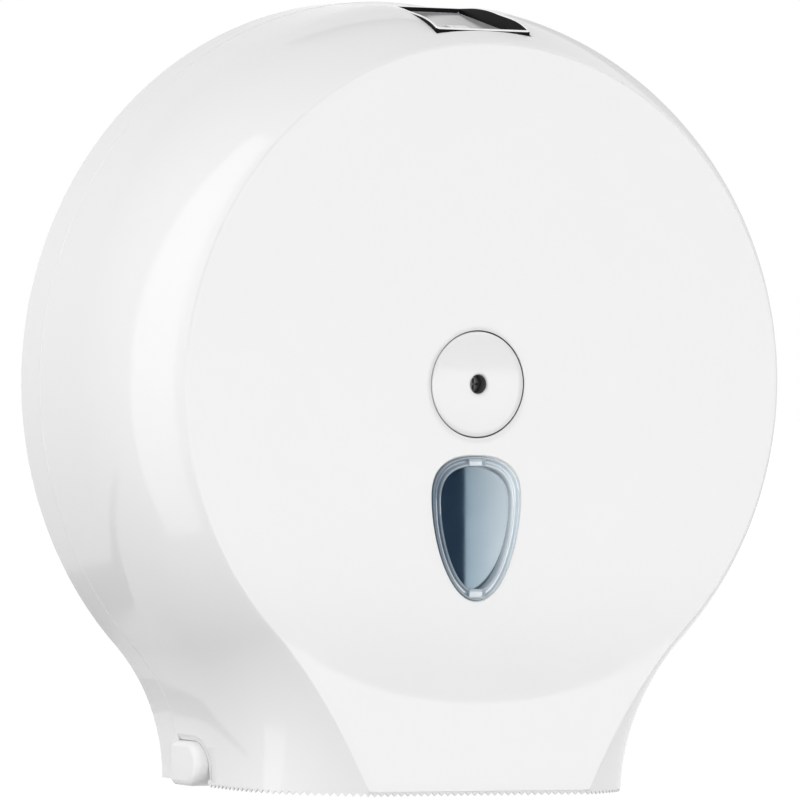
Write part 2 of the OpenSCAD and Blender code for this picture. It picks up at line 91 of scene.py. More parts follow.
# Level crown in mm: its width, the rise behind it, and where and over what length it fades in front
LEVEL_W, LEVEL_RISE, FADE_D, FADE_LENGTH = 56, 14, 80, 26

# Angle in degrees above which an edge is sharp
SHARP = 35


# The camera looks at the object from its left, at the angle of the photograph
def make_camera():
    az, el, roll = (math.radians(a) for a in (CAM_AZ, CAM_EL, CAM_ROLL))
    back = Vector((math.sin(az) * math.cos(el), -math.cos(az) * math.cos(el), math.sin(el)))
    right = Vector((math.cos(az), math.sin(az), 0))
    up = back.cross(right)
    side = right * math.cos(roll) + up * math.sin(roll)
    top = up * math.cos(roll) - right * math.sin(roll)
    off_x = (CAM_TARGET_PX[0] - PICTURE / 2) / CAM_SCALE
    off_y = (CAM_TARGET_PX[1] - PICTURE / 2) / CAM_SCALE
    place = (CAM_TARGET + back * CAM_DIST - side * off_x + top * off_y) * MM
    cam = bpy.data.objects.new("camera", bpy.data.cameras.new("camera"))
    bpy.context.scene.collection.objects.link(cam)
    turn = Matrix((side, top, back)).transposed().to_4x4()
    cam.matrix_world = Matrix.Translation(place) @ turn
    cam.data.sensor_width = SENSOR
    cam.data.lens = CAM_SCALE * CAM_DIST / PICTURE * SENSOR
    cam.data.clip_start = 0.1
    cam.data.clip_end = 60
    bpy.context.scene.camera = cam


# Mesh helpers: every point is x, depth, z in mm
def make_mesh(name, verts, faces, sharp=SHARP):
    mesh = bpy.data.meshes.new(name)
    mesh.from_pydata([(x * MM, -d * MM, z * MM) for x, d, z in verts], [], faces)
    mesh.validate()
    bm = bmesh.new()
    bm.from_mesh(mesh)
    bmesh.ops.recalc_face_normals(bm, faces=bm.faces)
    bm.to_mesh(mesh)
    bm.free()
    mesh.shade_smooth()
    mesh.set_sharp_from_angle(angle=math.radians(sharp))
    ob = bpy.data.objects.new(name, mesh)
    bpy.context.scene.collection.objects.link(ob)
    return ob


def loft(name, rings, sharp=SHARP):
    """Closed solid through a list of rings with equal numbers of points."""
    n = len(rings[0])
    verts = [p for ring in rings for p in ring]
    faces = [(i * n + j, i * n + (j + 1) % n, (i + 1) * n + (j + 1) % n, (i + 1) * n + j)
             for i in range(len(rings) - 1) for j in range(n)]
    faces.append(tuple(range(n)))
    faces.append(tuple(range((len(rings) - 1) * n, len(rings) * n)))
    return make_mesh(name, verts, faces, sharp)


def hoop(name, rings, sharp=SHARP):
    """Ring shaped solid: the last ring joins the first."""
    n = len(rings[0])
    m = len(rings)
    verts = [p for ring in rings for p in ring]
    faces = [(i * n + j, i * n + (j + 1) % n, (i + 1) % m * n + (j + 1) % n, (i + 1) % m * n + j)
             for i in range(m) for j in range(n)]
    return make_mesh(name, verts, faces, sharp)


def lathe(name, profile, n=144):
    """Solid turned about the roll axis from a closed profile of radius and depth."""
    turns = [math.tau * k / n for k in range(n)]
    return hoop(name, [[(r * math.cos(a), d, r * math.sin(a)) for r, d in profile] for a in turns])


def box_cutter(name, half_w, d0, d1, low, high):
    """Upright box that cuts an opening in the crown or in the tray."""
    plan = ((-half_w, d0), (half_w, d0), (half_w, d1), (-half_w, d1))
    return loft(name, [[(x, d, z) for x, d in plan] for z in (low, high)])


def cut(ob, cutters):
    """Takes the cutters out of a solid and removes them."""
    for cutter in cutters:
        mod = ob.modifiers.new("cut", "BOOLEAN")
        mod.operation = "DIFFERENCE"
        mod.solver = "EXACT"
        mod.object = cutter
    ready = ob.evaluated_get(bpy.context.evaluated_depsgraph_get())
    mesh = bpy.data.meshes.new_from_object(ready)
    ob.modifiers.clear()
    ob.data = mesh
    for cutter in cutters:
        bpy.data.objects.remove(cutter)
    mesh.shade_smooth()
    mesh.set_sharp_from_angle(angle=math.radians(SHARP))


def join_shells(name, parts):
    """One object from several closed shells."""
    bm = bmesh.new()
    for part in parts:
        bm.from_mesh(part.data)
    mesh = bpy.data.meshes.new(name)
    bm.to_mesh(mesh)
    bm.free()
    for part in parts:
        bpy.data.objects.remove(part)
    mesh.shade_smooth()
    mesh.set_sharp_from_angle(angle=math.radians(SHARP))
    ob = bpy.data.objects.new(name, mesh)
    bpy.context.scene.collection.objects.link(ob)
    return ob


def soft_box(name, x0, x1, d0, d1, z0, z1, r=0.5):
    """Box with rounded edges across, its outline in depth and height."""
    def ring(x, g):
        points = []
        for cd, cz, a0 in ((d0, z0, 180), (d1, z0, 270), (d1, z1, 0), (d0, z1, 90)):
            for k in range(4):
                a = math.radians(a0 + 30 * k)
                mid_d = cd + (r if cd == d0 else -r)
                mid_z = cz + (r if cz == z0 else -r)
                points.append((x, mid_d + (r - g) * math.cos(a), mid_z + (r - g) * math.sin(a)))
        return points
    rings = [ring(x0, r * 0.9), ring(x0 + r * 0.3, r * 0.3), ring(x0 + r, 0),
             ring(x1 - r, 0), ring(x1 - r * 0.3, r * 0.3), ring(x1, r * 0.9)]
    return loft(name, rings)


# Form of the cover
def side_r(d):
    """Radius of the round body, straight up to the shoulder and rounded in front of it."""
    if d <= SHOULDER:
        return BODY_R
    return BODY_R - SHOULDER_R + math.sqrt(SHOULDER_R ** 2 - (d - SHOULDER) ** 2)


def ease(t):
    """Smooth step from zero to one."""
    t = min(1, max(0, t))
    return t * t * (3 - 2 * t)


def sunk(d):
    """One where the crown of the cover is levelled for the tray, zero at the seam and the front edge."""
    return ease((d - SEAM) / LEVEL_RISE) * (1 - ease((d - FADE_D) / FADE_LENGTH))


def neck_half(d):
    """Half width of the neck, which narrows towards the front."""
    if d <= TURN_D:
        return NECK_W
    if d >= NECK_CORNER:
        return NECK_FRONT_W - 2 * (d - NECK_CORNER)
    t = (d - TURN_D) / (NECK_CORNER - TURN_D)
    return NECK_FRONT_W + (NECK_W - NECK_FRONT_W) * (1 - t ** 4)


def dish_d(r, back=0.0):
    """Depth of the dished face at a radius, or of a surface that lies back behind it."""
    return FACE + DISH_R - math.sqrt((DISH_R + back) ** 2 - r ** 2)


def neck_d(x, z, back=0.0):
    """Depth of the hollow, forward leaning neck front; above the neck it runs out of the way."""
    hollow = HOLLOW_R - math.sqrt((HOLLOW_R + back) ** 2 - x ** 2)
    return RIDGE_D + LEAN * (-RIDGE_LOW - z) + hollow + 0.02 * max(0, z + 118) ** 2


def front_d(x, z, back=0.0):
    """Depth of the front, with a slightly softened ridge between dished face and neck."""
    a = dish_d(math.hypot(x, z), back)
    b = neck_d(x, z, back)
    return (a + b) / 2 - math.sqrt(((a - b) / 2) ** 2 + RIDGE_SOFT ** 2 / 4)


def flank_arc(r, w):
    """Radius and middle of the hollow arc from the round body of radius r to the neck of half width w."""
    f = ((w - r * C45) ** 2 + (NECK_DROP - r * C45) ** 2) / (2 * C45 * (w + NECK_DROP - 2 * r * C45))
    return f, (r + f) * C45


def flank_point(r, w, side, t):
    """Point at share t of the way down a flank."""
    f, c = flank_arc(r, w)
    a1 = math.atan2(c - NECK_DROP, c - w)
    a = math.pi / 4 + (a1 - math.pi / 4) * t
    return side * (c - f * math.cos(a)), f * math.sin(a) - c


# Points of the outline: round body, each flank and the bottom
ROUND_N, FLANK_N, BOTTOM_N = 216, 28, 24
LOOP_N = ROUND_N + 2 * FLANK_N + BOTTOM_N
LEFT_J = ROUND_N + FLANK_N
RIGHT_J = LEFT_J + BOTTOM_N


def outline_point(j, r, w, level=0.0):
    """Point j of the outline: round body with a level crown, left flank, bottom, right flank."""
    if j <= ROUND_N:
        a = math.radians(-45 + 270 * j / ROUND_N)
        x, z = r * math.cos(a), r * math.sin(a)
        return x, z - level * max(0, z - math.sqrt(r ** 2 - LEVEL_W ** 2 / 4))
    if j <= LEFT_J:
        return flank_point(r, w, -1, (j - ROUND_N) / FLANK_N)
    if j <= RIGHT_J:
        return -w + 2 * w * (j - LEFT_J) / BOTTOM_N, -NECK_DROP
    return flank_point(r, w, 1, 1 - (j - RIGHT_J) / FLANK_N)


def halve(lo, hi, too_low):
    """Value between lo and hi at which too_low turns false."""
    for _ in range(40):
        mid = (lo + hi) / 2
        if too_low(mid):
            lo = mid
        else:
            hi = mid
    return (lo + hi) / 2


# Shares of the way along the side and from the ridge to the middle at which a column has its points
SIDE_F = (0, 0.03, 0.1, 0.18, 0.26, 0.34, 0.4, 0.46, 0.52, 0.58, 0.64,
          0.7, 0.75, 0.8, 0.85, 0.89, 0.93, 0.965)
FACE_F = (0.02, 0.05, 0.1, 0.16, 0.23, 0.3, 0.38, 0.46, 0.54, 0.62, 0.7, 0.78, 0.86, 0.93, 0.98, 1)


def cover_column(j, off, back, fillet, r_in):
    """Points from the seam over the side, the rounded edge and the front to radius r_in."""
    def at(d):
        dd = min(d + off, DEPTH + 6)
        return outline_point(j, side_r(dd) - off, neck_half(dd) - off, sunk(dd))

    d_edge = halve(50.0, 123.0, lambda d: d < front_d(*at(d), back))
    xe, ze = at(d_edge)
    edge = Vector((xe, d_edge, ze))
    re = math.hypot(xe, ze)
    cx, cz = xe / re, ze / re
    column = []
    for f in SIDE_F:
        d = SEAM + (d_edge - SEAM) * f
        x, z = at(d)
        column.append(Vector((x, d, z)))
    x, z = at(d_edge - 1)
    to_side = (Vector((x, d_edge - 1, z)) - edge).normalized()
    if LEFT_J < j < RIGHT_J:
        to_side = Vector((0, -1, 0))
        fillet = LOW_EDGE_R
    to_mid = (Vector((xe - cx, front_d(xe - cx, ze - cz, back), ze - cz)) - edge).normalized()
    for u in (0, 0.25, 0.5, 0.75, 1):
        column.append(edge + to_side * fillet * (1 - u) ** 2 + to_mid * fillet * u ** 2)
    ridge = halve(CREASE_R * 0.8, CREASE_R * 1.25, lambda r: dish_d(r) < neck_d(cx * r, cz * r))
    ridge = min(ridge, re * 0.985)
    start = re - fillet
    above, below = ridge - RIDGE_BAND, ridge + RIDGE_BAND
    radii = [start + (below - start) * t for t in (0.12, 0.3, 0.5, 0.7, 0.86)]
    radii += [below, ridge + RIDGE_BAND / 2, ridge, ridge - RIDGE_BAND / 2, above]
    radii += [above - (above - r_in) * t for t in FACE_F]
    for r in radii:
        r = min(r, re - fillet * 1.02)
        column.append(Vector((cx * r, front_d(cx * r, cz * r, back), cz * r)))
    return column


def cap_seat(cx, cz):
    """Points of the stepped seat of the cap, from the rounded rim to the inner ring."""
    rim = dish_d(SEAT_R)
    steps = ((SEAT_RIM_R, rim), (SEAT_R + 0.1, rim - 0.12), (SEAT_R, rim - 0.5), (SEAT_R, SEAT_D),
             (STEM_HOLE_R, SEAT_D), (STEM_HOLE_R, BOSS_D), (BOSS_R, BOSS_D))
    return [Vector((cx * r, d, cz * r)) for r, d in steps]


def cover_body():
    """Watertight shell of four sided faces, open at the rear and below."""
    full = []
    for j in range(LOOP_N):
        outer = cover_column(j, 0.0, 0.0, EDGE_R, SEAT_RIM_R)
        inner = cover_column(j, SKIN, WALL, INNER_EDGE_R, BOSS_R)
        last = outer.pop()
        r = math.hypot(last.x, last.z)
        full.append(outer + cap_seat(last.x / r, last.z / r) + inner[::-1])
    rows = len(full[0])
    n_side = len(SIDE_F)
    verts = [v for column in full for v in column]
    faces = []
    for j in range(LOOP_N):
        k = (j + 1) % LOOP_N
        below = LEFT_J <= j < RIGHT_J
        for i in range(rows - 1):
            on_side = i < n_side or i >= rows - 1 - n_side
            if not (below and on_side):
                faces.append((j * rows + i, j * rows + i + 1, k * rows + i + 1, k * rows + i))
        if below:
            a, b = n_side, rows - 1 - n_side
            faces.append((j * rows + a, k * rows + a, k * rows + b, j * rows + b))
        else:
            faces.append((j * rows + rows - 1, j * rows, k * rows, k * rows + rows - 1))
    for j in (LEFT_J, RIGHT_J):
        for i in range(n_side):
            m = rows - 1 - i
            faces.append((j * rows + i, j * rows + i + 1, j * rows + m - 1, j * rows + m))
    return make_mesh("cover_shell", verts, faces)


def shade_seat(cover, mat):
    """The narrow gap round the cap is painted dark as shade."""
    cover.data.materials.append(mat)
    for face in cover.data.polygons:
        x, y, z = face.center / MM
        face.material_index = 1 if math.hypot(x, z) < SEAT_R + 0.02 and -y > FACE - 4 else 0


def shade_well(cap, mat):
    """The well of the cap screw is painted dark as shade too."""
    cap.data.materials.append(mat)
    for face in cap.data.polygons:
        x, _, z = face.center / MM
        face.material_index = 1 if math.hypot(x, z) < WELL_R + 0.04 else 0


# Window: a drop that is wider above, placed on the dished face
def win_half(z, g):
    """Half width at height z of the outline grown by g."""
    if z > WIN_WIDE:
        rise = 1 - (WIN_TOP - z) / (WIN_TOP - WIN_WIDE)
        return (WIN_W + g) * (1 - rise ** WIN_UPPER_POWER) ** (1 / WIN_UPPER_POWER)
    drop = (WIN_WIDE - z) / (WIN_WIDE - WIN_BOTTOM)
    return (WIN_W + g) * math.sqrt(max(0, 1 - drop ** WIN_LOWER_POWER))


def win_ring(g, d, tall=None, hollow=0.0, n=48):
    """Ring of the outline grown by g across and tall in height, at local depth d before the dished face.

    A hollow bends it back into a trough of that depth, which is the same from top to bottom.
    """
    ring = []
    tall = g if tall is None else tall
    for i in range(2 * n):
        t = math.pi * (i if i <= n else 2 * n - i) / n
        z = WIN_TOP - (WIN_TOP - WIN_BOTTOM) * (1 - math.cos(t)) / 2
        x = win_half(z, g) * (1 if i <= n else -1)
        up = (z - WIN_MID) * (WIN_HZ + tall) / WIN_HZ
        trough = hollow * (1 - ((x - TROUGH_X) / (WIN_W - WIN_BORDER)) ** 2)
        deep = (d - trough) * math.cos(WIN_TILT) - up * math.sin(WIN_TILT)
        high = up * math.cos(WIN_TILT) + d * math.sin(WIN_TILT)
        ring.append((x, dish_d(-WIN_MID) + deep, WIN_MID + high))
    return ring


def flank_x(z):
    """Half width of the outline beside the hinge, where the flank is hollow."""
    f, c = flank_arc(BODY_R, NECK_W)
    return c - math.sqrt(f ** 2 - (max(z, -NECK_DROP) + c) ** 2)


# Scooped notch round a hinge ear: wider by g at a height off above the flank
def notch_ring(off, g, side):
    r = EAR_R + EAR_GAP
    low = -NECK_DROP - 12
    top = HINGE_Z + r + 0.5 * g
    plan = [(SEAM - 8, low), (SEAM - 8, top), (SEAM + 1, top), (SEAM + 6, top)]
    for k in range(13):
        a = math.radians(90 - 7.5 * k)
        wide = r + g * (0.5 + 0.5 * k / 12)
        plan.append((HINGE_D + wide * math.cos(a), HINGE_Z + wide * math.sin(a)))
    for k in range(1, 7):
        plan.append((HINGE_D + r + 0.08 * k + g * math.sqrt(1 - k * k / 36), HINGE_Z - 1.7 * k))
    plan.append((HINGE_D + r + 0.5, low))
    return [(side * (WEB_OUT if off is None else flank_x(z) + off), d, z) for d, z in plan]


def notch_cutter(side):
    steps = ((None, 0), (-1.3, 0), (-1.25, 0.6), (-1.1, 1.6), (-0.8, 2.9),
             (-0.4, 4.2), (0.1, 5.4), (1, 7), (5, 12))
    return loft("notch", [notch_ring(off, g, side) for off, g in steps])


def build_cover():
    """Cover shell with the openings of the window and the tray and a notch round each ear."""
    cover = cover_body()
    window_steps = ((0.15, -9), (0.15, -0.5), (0.5, 0), (1.2, 0.7))
    window = loft("window_cut", [win_ring(g, d) for g, d in window_steps])
    tray = box_cutter("tray_cut", TRAY_W / 2 + 0.3, TRAY_D0 - 0.3, TRAY_D1 + 0.3, BODY_R - 30, BODY_R + 6)
    cut(cover, [window, tray, notch_cutter(-1), notch_cutter(1)])
    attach(cover, "cover")
    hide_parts("front_cover")
    return cover


def build_cover_lugs():
    """Hinge webs and bosses, and the frame behind the window."""
    parts = []
    for s in (-1, 1):
        for x0, x1, d0, d1, z0, z1 in (
                (WEB_IN + 0.1, NECK_W - 1.4, SEAM + 0.4, 58, HINGE_Z + 11.5, HINGE_Z + 17),
                (WEB_IN + 0.2, NECK_W - 2, HINGE_D + 11.7, 55.8, 1.2 - NECK_DROP, HINGE_Z + 12.8),
                (WEB_IN, WEB_OUT, HINGE_D - 8, 56, 1 - NECK_DROP, HINGE_Z + 13)):
            parts.append(soft_box("web", *sorted((s * x0, s * x1)), d0, d1, z0, z1))
        root, tip = WEB_OUT - 0.2, WEB_IN - 6
        boss = []
        for x, r, lift in ((root, HINGE_BOSS_R, 1.2), (tip + 0.5, HINGE_BOSS_R, 1.2),
                           (tip, HINGE_BOSS_R - 0.5, 1.2), (tip, PIN_R, 0), (root, PIN_R, 0)):
            boss.append([(s * x, HINGE_D + r * math.cos(a), HINGE_Z + lift + r * math.sin(a))
                         for a in (math.tau * k / 36 for k in range(36))])
        parts.append(hoop("boss", boss))
    frame_rings = [win_ring(g, d) for g, d in ((0.2, -1.6), (5, -1.6), (5, -4.2), (4.7, -4.5), (0.4, -4.5))]
    parts.append(hoop("frame", frame_rings))
    lugs = join_shells("cover_lugs", parts)
    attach(lugs, "cover")
    return lugs


# Serrated tear edge: a strip that follows the edge of the neck
def tear_path():
    """Plan points of the neck edge from the left rear round the front to the right rear."""
    side = []
    for k in range(61):
        d = TOOTH_START + (NECK_CORNER - 0.4 - TOOTH_START) * k / 60
        side.append((-neck_half(d), d))
    w = neck_half(NECK_CORNER - 0.4)
    front = [(-w + 2 * w * k / 40, neck_d(-w + 2 * w * k / 40, -NECK_DROP) - 0.15) for k in range(1, 40)]
    return side + front + [(-x, d) for x, d in side[::-1]]


def build_tear_edge():
    """Teeth along the path, each made of six steps, with a flat tip."""
    path = [Vector(p) for p in tear_path()]
    run = [0.0]
    for a, b in zip(path, path[1:]):
        run.append(run[-1] + (b - a).length)
    teeth = round(run[-1] / TOOTH_PITCH)
    steps = teeth * 6
    rings = []
    i = 0
    for k in range(steps + 1):
        s = run[-1] * k / steps
        while i < len(path) - 2 and run[i + 1] < s:
            i += 1
        p = path[i].lerp(path[i + 1], (s - run[i]) / (run[i + 1] - run[i]))
        along = (path[min(i + 2, len(path) - 1)] - path[max(i - 1, 0)]).normalized()
        inward = Vector((along.y, -along.x))
        tooth = 1 - abs(k % 6 - 3) / 3
        low = -NECK_DROP - 0.25 - TOOTH_H * min(tooth, 0.93)
        ring = []
        for off, z in ((0.1, -NECK_DROP + 1.4), (0.1, -NECK_DROP), (0.15 + 0.45 * tooth, low),
                       (1.35 - 0.3 * tooth, low), (1.7, -NECK_DROP), (1.7, -NECK_DROP + 1.4)):
            ring.append((p.x + inward.x * off, p.y + inward.y * off, z))
        rings.append(ring)
    edge = loft("tear_edge", rings, 25)
    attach(edge, "cover")
    return edge


# Rear plate: the solid's own mesh, with softly rounded ears in place of its square ones
def plate_mesh():
    """Copy of the solid's mesh with its flat faces joined."""
    mesh = nodes["rear_plate"].data.copy()
    bm = bmesh.new()
    bm.from_mesh(mesh)
    bmesh.ops.remove_doubles(bm, verts=bm.verts, dist=1e-6)
    bmesh.ops.dissolve_limit(bm, angle_limit=math.radians(0.5), verts=bm.verts, edges=bm.edges)
    bm.to_mesh(mesh)
    bm.free()
    return mesh


def ear_ring(x, inset, side):
    """Outline of an ear: round in front and square with small corners behind."""
    left = EAR_D - 1.5 + inset
    corner = max(3.5 - inset, 0.4)
    ring = []
    for cd, cz, r, a0, a1 in ((left + corner, HINGE_Z - EAR_R + inset + corner, corner, 180, 270),
                              (HINGE_D, HINGE_Z, EAR_R - inset, -90, 90),
                              (left + corner, HINGE_Z + EAR_R - inset - corner, corner, 90, 180)):
        n = 24 if a1 - a0 == 180 else 8
        for k in range(n + 1):
            a = math.radians(a0 + (a1 - a0) * k / n)
            ring.append((side * x, cd + r * math.cos(a), cz + r * math.sin(a)))
    return ring


def build_seam_lip():
    """Rounded front edge of the rear plate, which shows as a light line along the seam."""
    profile = ((-1.0, -1.0), (-0.1, -1.0), (0.12, -0.75), (0.16, -0.5),
               (0.1, -0.25), (-0.12, -0.05), (-1.0, -0.05))
    order = list(range(RIGHT_J, LOOP_N)) + list(range(LEFT_J + 1))
    rings = []
    for j in order:
        ring = []
        for out, d in profile:
            x, z = outline_point(j, BODY_R + out, NECK_W + out)
            ring.append((x, SEAM + d, max(z, -NECK_DROP + 0.2)))
        rings.append(ring)
    lip = loft("seam_lip", rings)
    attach(lip, "housing")
    return lip


def build_rear_plate():
    """Plate without its square ears, the lip of the seam and the rounded ears."""
    plate = bpy.data.objects.new("rear_shell", plate_mesh())
    bpy.context.scene.collection.objects.link(plate)
    boxes = []
    for s in (-1, 1):
        low, high, front = -NECK_DROP - 9, HINGE_Z + EAR_R + 4, HINGE_D + 20
        corners = ((EAR_D, low), (front, low), (front, high), (EAR_D, high))
        sides = (EAR_IN - 2, EAR_OUT + 3)
        boxes.append(loft("ear_cut", [[(s * x, d, z) for d, z in corners] for x in sides]))
    cut(plate, boxes)
    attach(plate, "housing")
    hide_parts("rear_plate")
    ears = []
    edge_r = 3.2
    for s, name in ((-1, "hinge_ear_left"), (1, "hinge_ear_right")):
        rings = [ear_ring(EAR_IN, 0.4, s), ear_ring(EAR_IN + 0.4, 0, s)]
        for k in range(9):
            a = math.pi / 2 * k / 8
            rings.append(ear_ring(EAR_OUT - edge_r + edge_r * math.sin(a), edge_r * (1 - math.cos(a)), s))
        ear = loft(name, rings, 50)
        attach(ear, "housing")
        ears.append(ear)
    return [plate, build_seam_lip()] + ears


def build_front_cap():
    """Crowned disc with a rounded rim, a stem and a well for its screw."""
    def crown(r):
        return CROWN_D - CROWN_R + math.sqrt(CROWN_R ** 2 - r ** 2)

    screw_r, lip = 2.2, crown(5)
    profile = [(screw_r, STEM_D), (screw_r, WELL_D), (WELL_R, WELL_D), (WELL_R, lip - 1.2)]
    profile += [(WELL_R + 0.1, lip - 0.7), (WELL_R + 0.45, lip - 0.2), (WELL_R + 1.0, crown(5.2))]
    for k in range(13):
        r = WELL_R + 2.0 + (CAP_R - WELL_R - 2.9) * k / 12
        profile.append((r, crown(r)))
    rim = crown(CAP_R)
    profile += [(CAP_R - 0.5, rim - 0.04), (CAP_R - 0.2, rim - 0.16), (CAP_R, rim - 0.5), (CAP_R, SEAT_D)]
    profile += [(STEM_R, SEAT_D), (STEM_R, STEM_D)]
    cap = lathe("cap_disc", profile)
    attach(cap, "cover")
    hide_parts("front_cap")
    return cap


def build_window():
    """Moulded border with two ridges and clip tabs, and the hollow pane inside it."""
    inner = -WIN_BORDER
    flange = ((3, -6), (3, -4.7), (0, -4.6), (0, 0.2))
    outer_ridge = ((-0.2, 0.65), (-0.6, 0.9), (-1.0, 0.65), (-1.3, -0.2))
    groove = ((-1.6, -0.7), (-2.5, -0.7), (-2.8, -0.2))
    inner_ridge = ((-3.1, 0.6), (-3.5, 0.85), (-4.0, 0.6), (inner, -0.2))
    wall = ((inner - 0.1, -1.2), (inner - 0.1, -5.6), (inner, -6))
    section = flange + outer_ridge + groove + inner_ridge + wall
    border = hoop("window_border", [win_ring(g, d) for g, d in section], 60)
    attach(border, "cover")
    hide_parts("window_pane")
    shares = [k / 24 for k in range(25)]
    rings = [win_ring(inner + 0.1 - 17.2 * u, back, inner + 0.1 - 12 * u, 3.0)
             for back, steps in ((-1.2, shares[::-1]), (-2.6, shares)) for u in steps]
    pane = loft("window_hollow", rings, 60)
    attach(pane, "cover")
    tabs = []
    tab_half = 4.2
    for z0, z1 in ((WIN_TOP - 4.3, WIN_TOP - 0.9), (WIN_BOTTOM + 0.9, WIN_BOTTOM + 5.2)):
        base = dish_d(-(z0 + z1) / 2)
        tabs.append(soft_box("tab", -tab_half, tab_half, base - 2.5, base + 1.05, z0, z1, 0.4))
    tab = join_shells("window_tabs", tabs)
    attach(tab, "cover")
    return border, pane, tab


# Plated tray: a thin rim that follows the body, walls painted dark as shade and a sloping floor painted in
# half shade, with the pad opening
def tray_ring(inset, corner, height):
    """Rounded rectangle in plan; height gives z for a depth."""
    x1, d0, d1 = TRAY_W / 2 - inset, TRAY_D0 + inset, TRAY_D1 - inset
    plan = []
    for cx, cd, a0 in ((x1 - corner, d1 - corner, 0), (corner - x1, d1 - corner, 90),
                       (corner - x1, d0 + corner, 180), (x1 - corner, d0 + corner, 270)):
        for k in range(9):
            a = math.radians(a0 + 11.25 * k)
            plan.append((cx + corner * math.cos(a), cd + corner * math.sin(a)))
        if a0 in (90, 270):
            to_d = d0 + corner if a0 == 90 else d1 - corner
            from_d = plan[-1][1]
            plan += [(plan[-1][0], from_d + (to_d - from_d) * k / 30) for k in range(1, 30)]
    return [(x, d, height(d)) for x, d in plan]


def tray_top(d):
    """The rim is level with the sunk crown behind and stands proud of the rounded edge in front."""
    return side_r(d) + TRAY_RIM - RIM_SINK * sunk(max(d, TRAY_D0))


def build_tray():
    """Rings from the outer foot over the rolled rim down to the floor, and the pad's opening."""
    def floor_z(d):
        return min(TRAY_FLOOR - (d - TRAY_D0 - 5) * FLOOR_SLOPE, tray_top(d) - 2)

    steps = ((0, 1.6, lambda d: floor_z(d) - 2.5), (0, 1.6, lambda d: tray_top(d) - 0.45),
             (0.1, 1.5, lambda d: tray_top(d) - 0.12), (0.32, 1.4, tray_top), (0.75, 1.3, tray_top),
             (1.0, 1.2, lambda d: tray_top(d) - 0.12), (1.12, 1.1, lambda d: tray_top(d) - 0.4),
             (1.15, 1.1, lambda d: floor_z(d) + 0.7), (1.35, 1.0, lambda d: floor_z(d) + 0.2),
             (1.8, 0.8, floor_z))
    tray = loft("plated_tray_body", [tray_ring(*step) for step in steps])
    pad_half = PAD_W / 2 + PAD_GAP
    cut(tray, [box_cutter("pad_cut", pad_half, PAD_D0 - PAD_GAP, PAD_D1 + PAD_GAP, BODY_R - 30, BODY_R)])
    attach(tray, "cover")
    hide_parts("lock_tray")
    return tray


def split_tray(tray, rim, wall, floor):
    """Rim, walls and floor of the tray take three copies of the same plating: the rim keeps its chrome, the
    walls are painted near black as shade and dark reflection, the floor is painted grey as half shade.
    """
    tray.data.materials.clear()
    for mat in (rim, wall, floor):
        tray.data.materials.append(mat)
    for face in tray.data.polygons:
        x, y, z = face.center / MM
        if z > tray_top(-y) - RIM_BAND:
            face.material_index = 0
        elif abs(x) < TRAY_W / 2 - WALL_BAND and TRAY_D0 + WALL_BAND < -y < TRAY_D1 - WALL_BAND:
            face.material_index = 2
        else:
            face.material_index = 1


def build_coil(name, node):
    """Spring copied from the solid's mesh and carried by the cover."""
    coil = bpy.data.objects.new(name, nodes[node].data.copy())
    bpy.context.scene.collection.objects.link(coil)
    coil.matrix_world = nodes[node].matrix_world.copy()
    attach(coil, "cover")
    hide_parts(node)
    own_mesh(coil)
    return coil


# Materials: colour, roughness and surface grain come from noise in the piece's own space
def noise(tree, scale, detail=3.0, stretch=None):
    """Output of a noise texture, with its grain stretched along one axis if asked."""
    coord = tree.nodes.new("ShaderNodeTexCoord")
    node = tree.nodes.new("ShaderNodeTexNoise")
    node.inputs["Scale"].default_value = scale
    node.inputs["Detail"].default_value = detail
    if stretch is None:
        tree.links.new(coord.outputs["Object"], node.inputs["Vector"])
        return node.outputs["Fac"]
    mapping = tree.nodes.new("ShaderNodeMapping")
    mapping.inputs["Scale"].default_value = stretch
    tree.links.new(coord.outputs["Object"], mapping.inputs["Vector"])
    tree.links.new(mapping.outputs["Vector"], node.inputs["Vector"])
    return node.outputs["Fac"]


def surface(name, dark, light, rough, grain, bump, patch=18.0, stretch=None, **sockets):
    """Noise varies the colour between dark and light and the roughness between two values."""
    mat = bpy.data.materials.new(name)
    mat.use_nodes = True
    tree = mat.node_tree
    shader = tree.nodes["Principled BSDF"]
    mix = tree.nodes.new("ShaderNodeMix")
    mix.data_type = "RGBA"
    mix.inputs[6].default_value = (*dark, 1)
    mix.inputs[7].default_value = (*light, 1)
    tree.links.new(noise(tree, patch), mix.inputs[0])
    tree.links.new(mix.outputs[2], shader.inputs["Base Color"])
    spread = tree.nodes.new("ShaderNodeMapRange")
    spread.inputs["From Min"].default_value = 0.3
    spread.inputs["From Max"].default_value = 0.7
    spread.inputs["To Min"].default_value = rough[0]
    spread.inputs["To Max"].default_value = rough[1]
    tree.links.new(noise(tree, patch * 4, 5.0, stretch), spread.inputs["Value"])
    tree.links.new(spread.outputs["Result"], shader.inputs["Roughness"])
    relief = tree.nodes.new("ShaderNodeBump")
    relief.inputs["Strength"].default_value = bump
    relief.inputs["Distance"].default_value = 0.0001
    tree.links.new(noise(tree, grain, 2.0, stretch), relief.inputs["Height"])
    tree.links.new(relief.outputs["Normal"], shader.inputs["Normal"])
    for socket, value in sockets.items():
        shader.inputs[socket.replace("_", " ")].default_value = value
    return mat


